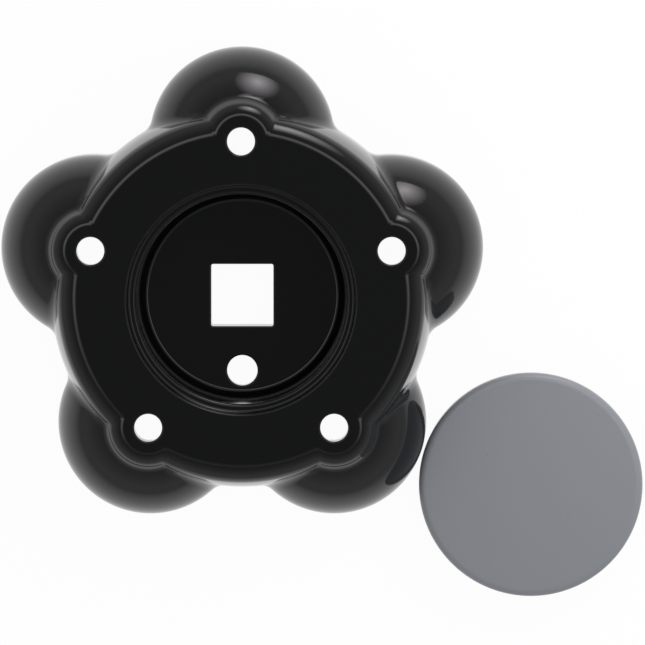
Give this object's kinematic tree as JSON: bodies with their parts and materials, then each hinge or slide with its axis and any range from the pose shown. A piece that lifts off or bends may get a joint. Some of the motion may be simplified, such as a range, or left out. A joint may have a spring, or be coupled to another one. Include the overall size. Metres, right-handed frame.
{
  "type": "star knob",
  "caption": "Hollow-backed moulded star knob with ball lobes, a square drive hole in a deep centre cup, and a snap cap lying beside it.",
  "frame": {"origin": "on the knob's axis, on the plane of the back rim that the knob stands on", "axes": "+Z along the knob's axis, out of its front face; +Y towards one lobe, with the cap lying towards +X and -Y"},
  "size_m": [0.1312, 0.1126, 0.03],
  "materials": {
    "black_moulding": "polished black thermoset moulding",
    "grey_cap": "fine satin grey moulding"
  },
  "bodies": {
    "root": {"knob_body": "black_moulding", "snap_cap": "grey_cap"}
  },
  "joints": []
}
